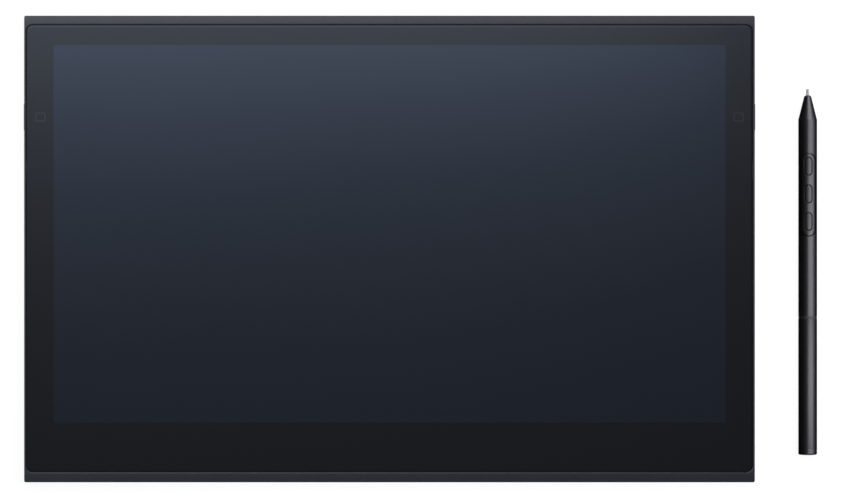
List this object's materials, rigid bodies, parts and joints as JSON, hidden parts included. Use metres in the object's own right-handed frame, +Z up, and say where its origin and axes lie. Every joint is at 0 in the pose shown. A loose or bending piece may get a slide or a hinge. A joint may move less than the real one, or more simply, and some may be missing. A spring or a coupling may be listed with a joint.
{
  "type": "graphics tablet with screen",
  "caption": "Slim pen display: a glass-fronted screen in a shallow metal housing with side buttons and sockets, and a pressure pen with side switches lying beside it.",
  "frame": {"origin": "on the desk plane, below the centre of the tablet's flat back", "axes": "+X to the tablet's right, where the pen lies; +Y towards the tablet's top edge, away from the user; +Z up out of the screen"},
  "size_m": [0.3477, 0.2044, 0.0086],
  "materials": {
    "housing": "fine dark satin coat",
    "cover_glass": "etched anti-glare front over black print",
    "side_button": "fine dark satin coat",
    "foot_rubber": "matt moulded rubber",
    "frame_plastic": "moulded",
    "tape": "black foam tape",
    "film": "clear bonding film",
    "panel": "unlit display panel",
    "digitizer": "printed sensor sheet",
    "steel": "tinned sheet",
    "board": "solder mask",
    "chip": "moulded",
    "connector": "moulded",
    "ribbon": "flexible circuit",
    "plunger": "moulded",
    "light_guide": "frosted",
    "led": "encapsulated",
    "screw": "blackened",
    "pen_barrel": "soft satin black",
    "pen_plate": "satin black",
    "pen_button": "satin black",
    "nib": "worn light grey",
    "spare_nib": "plain",
    "pen_inner": "moulded",
    "ferrite": "sintered",
    "winding": "lacquered copper wire",
    "seal": "smooth"
  },
  "bodies": {
    "tablet": {"rear_housing": "housing", "mid_frame": "frame_plastic", "front_glass": "cover_glass", "glass_tape": "tape", "bonding_film": "film", "display_panel": "panel", "digitizer_sheet": "digitizer", "shield_plate": "steel", "main_board": "board", "board_shield_cans": "steel", "controller_chips": "chip", "board_connectors": "connector", "display_ribbon": "ribbon", "digitizer_ribbon": "ribbon", "side_board_left": "board", "side_board_right": "board", "side_ribbon_left": "ribbon", "side_ribbon_right": "ribbon", "socket_shell_left": "steel", "socket_shell_right": "steel", "socket_tongue_left": "chip", "socket_tongue_right": "chip", "side_switch_left": "chip", "side_switch_right": "chip", "key_light_left": "light_guide", "key_light_right": "light_guide", "key_leds": "led", "rubber_feet": "foot_rubber", "frame_screws": "screw", "board_screws": "screw"},
    "left_button": {"side_button_left": "side_button", "side_plunger_left": "plunger"},
    "right_button": {"side_button_right": "side_button", "side_plunger_right": "plunger"},
    "pen": {"pen_front_barrel": "pen_barrel", "pen_ferrite_core": "ferrite", "pen_coil": "winding", "pen_pressure_sensor": "plunger", "pen_chassis": "pen_inner", "pen_board": "board", "pen_switches": "chip", "pen_button_plate": "pen_plate", "pen_joint_plug": "pen_inner", "pen_seal_ring": "seal", "pen_spare_nibs": "spare_nib"},
    "nib": {"pen_nib": "nib", "pen_pressure_plunger": "chip"},
    "front_pen_button": {"pen_button_front": "pen_button", "pen_plunger_front": "plunger"},
    "middle_pen_button": {"pen_button_middle": "pen_button", "pen_plunger_middle": "plunger"},
    "rear_pen_button": {"pen_button_rear": "pen_button", "pen_plunger_rear": "plunger"},
    "pen_rear": {"pen_rear_barrel": "pen_barrel", "pen_end_cap": "pen_barrel"}
  },
  "joints": [
    {"name": "left_button_press", "type": "slide", "parent": "tablet", "child": "left_button", "axis": [1, 0, 0], "range_m": [0, 0.0002], "stiffness_N_per_m": 400},
    {"name": "right_button_press", "type": "slide", "parent": "tablet", "child": "right_button", "axis": [-1, 0, 0], "range_m": [0, 0.0002], "stiffness_N_per_m": 400},
    {"name": "pen_lift", "type": "slide", "parent": "tablet", "child": "pen", "axis": [0, 0, 1], "range_m": [0, 0.08]},
    {"name": "nib_press", "type": "slide", "parent": "pen", "child": "nib", "axis": [0, -1, 0], "range_m": [0, 0.0003], "stiffness_N_per_m": 400},
    {"name": "front_pen_button_press", "type": "slide", "parent": "pen", "child": "front_pen_button", "axis": [0, 0, -1], "range_m": [0, 0.00025], "stiffness_N_per_m": 400},
    {"name": "middle_pen_button_press", "type": "slide", "parent": "pen", "child": "middle_pen_button", "axis": [0, 0, -1], "range_m": [0, 0.00025], "stiffness_N_per_m": 400},
    {"name": "rear_pen_button_press", "type": "slide", "parent": "pen", "child": "rear_pen_button", "axis": [0, 0, -1], "range_m": [0, 0.00025], "stiffness_N_per_m": 400},
    {"name": "rear_barrel_pull", "type": "slide", "parent": "pen", "child": "pen_rear", "axis": [0, -1, 0], "range_m": [0, 0.045]}
  ]
}
